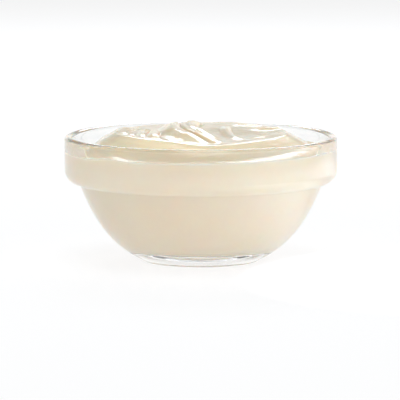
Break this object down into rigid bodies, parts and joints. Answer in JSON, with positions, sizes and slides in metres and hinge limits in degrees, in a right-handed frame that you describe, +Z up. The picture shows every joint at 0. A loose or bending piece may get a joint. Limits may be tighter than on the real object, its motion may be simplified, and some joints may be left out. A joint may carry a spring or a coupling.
{
  "type": "sauce cup",
  "caption": "Small clear glass dip bowl with a thick upright collar and a low foot, filled with a pale creamy sauce that a spoon has swirled into a low mound.",
  "frame": {"origin": "middle of the foot ring, on the surface that the bowl stands on", "axes": "+Z up along the bowl's axis, +X to the viewer's right, -Y towards the viewer, so that the swirl's arms run from the back to the front"},
  "size_m": [0.08, 0.08, 0.0399],
  "materials": {
    "glass": "clear pressed glass, fire-polished, with a soft rounded lip",
    "sauce": null
  },
  "bodies": {
    "root": {"bowl": "glass", "sauce": "sauce"}
  },
  "joints": []
}
